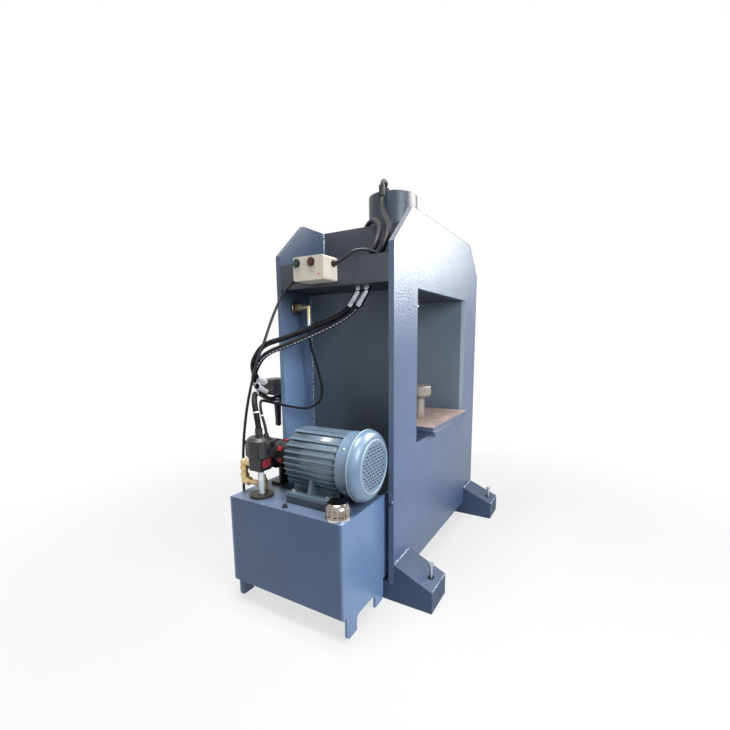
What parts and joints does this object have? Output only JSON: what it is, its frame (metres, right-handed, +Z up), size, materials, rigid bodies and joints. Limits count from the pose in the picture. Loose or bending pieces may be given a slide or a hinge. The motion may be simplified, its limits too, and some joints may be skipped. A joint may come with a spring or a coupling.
{
  "type": "hydraulic press",
  "caption": "Welded window-frame hydraulic press with a downward ram, a bed with bolster plates, and a motor and pump unit on an oil tank at its side.",
  "frame": {"origin": "on the floor under the middle of the machine's box, without its cables and hoses", "axes": "+Z up; +X along the window plates, away from the power unit; +Y towards the side with the gauge's dial and the hand lever"},
  "size_m": [1.27, 0.794, 1.6109],
  "materials": {
    "blue_paint": "grey-blue semi-gloss machine paint with a fine orange-peel texture",
    "bare_steel": "bare steel with brown surface rust",
    "zinc": "bright zinc plate",
    "chrome": "hard chrome",
    "brass": "plain brass",
    "black_iron": "black painted cast iron",
    "motor_paint": "grey-green gloss motor paint",
    "ivory_plastic": "ivory moulded plastic",
    "black_plastic": "black moulded plastic",
    "green_plastic": "green push button",
    "red_plastic": "red push button",
    "red_rubber": "red polyurethane",
    "hose_rubber": "black hose and cable rubber"
  },
  "bodies": {
    "frame": {"front_plate": "blue_paint", "rear_plate": "blue_paint", "side_webs": "blue_paint", "crown_walls": "blue_paint", "cylinder_seat": "blue_paint", "bed_plate": "blue_paint", "bed_ribs": "blue_paint", "hose_shelf": "blue_paint", "left_base_rail": "blue_paint", "right_base_rail": "blue_paint", "levelling_bolts": "zinc", "bolster_plates": "bare_steel", "press_tool": "bare_steel", "cylinder_barrel": "blue_paint", "cylinder_cap": "blue_paint", "rod_gland": "zinc", "gland_bolts": "zinc", "hose_fittings": "zinc", "oil_tank": "blue_paint", "tank_ends": "blue_paint", "filler_neck": "chrome", "tank_plug": "black_iron", "suction_pipe": "zinc", "motor_rails": "blue_paint", "motor_frame": "motor_paint", "drive_shield": "motor_paint", "fan_cover": "motor_paint", "terminal_box": "motor_paint", "motor_bolts": "zinc", "gear_pump": "black_iron", "pump_bracket": "blue_paint", "valve_head": "black_iron", "brass_pipework": "brass", "hand_valve": "black_iron", "gauge_case": "black_iron", "gauge_fitting": "brass", "control_box": "ivory_plastic", "control_lid": "ivory_plastic", "cable_glands": "brass", "advance_hose": "hose_rubber", "return_hose": "hose_rubber", "cap_hose": "hose_rubber", "rod_hose": "hose_rubber", "pump_hose": "hose_rubber", "gauge_hose": "hose_rubber", "motor_lead": "hose_rubber", "supply_cable": "hose_rubber", "cable_coil": "hose_rubber", "supply_plug": "black_plastic"},
    "ram": {"ram": "chrome", "piston": "bare_steel"},
    "rotor": {"drive_shafts": "bare_steel", "cooling_fan": "black_plastic", "coupling_hubs": "black_iron", "coupling_spider": "red_rubber"},
    "lever": {"hand_lever": "black_plastic"},
    "needle": {"gauge_needle": "red_plastic"},
    "start": {"start_button": "green_plastic"},
    "stop": {"stop_button": "red_plastic"},
    "filler": {"filler_cap": "chrome"}
  },
  "joints": [
    {"name": "ram_slide", "type": "slide", "parent": "frame", "child": "ram", "axis": [0, 0, -1], "range_m": [0, 0.28]},
    {"name": "rotor_spin", "type": "hinge", "parent": "frame", "child": "rotor", "pos_m": [-0.465, 0, 0.535], "axis": [0, 1, 0], "continuous": true},
    {"name": "lever_swing", "type": "hinge", "parent": "frame", "child": "lever", "pos_m": [-0.312, 0.32, 0.717], "axis": [0, 1, 0], "range_deg": [-20, 20], "stiffness_Nm_per_rad": 4},
    {"name": "needle_turn", "type": "hinge", "parent": "frame", "child": "needle", "pos_m": [-0.282, 0.2572, 1.075], "axis": [0, -1, 0], "range_deg": [0, 270], "stiffness_Nm_per_rad": 0.002},
    {"name": "start_press", "type": "slide", "parent": "frame", "child": "start", "axis": [1, 0, 0], "range_m": [0, 0.004], "stiffness_N_per_m": 800},
    {"name": "stop_press", "type": "slide", "parent": "frame", "child": "stop", "axis": [1, 0, 0], "range_m": [0, 0.004], "stiffness_N_per_m": 800},
    {"name": "filler_turn", "type": "hinge", "parent": "frame", "child": "filler", "pos_m": [-0.594, -0.169, 0.42], "axis": [0, 0, 1], "range_deg": [0, 60]}
  ]
}
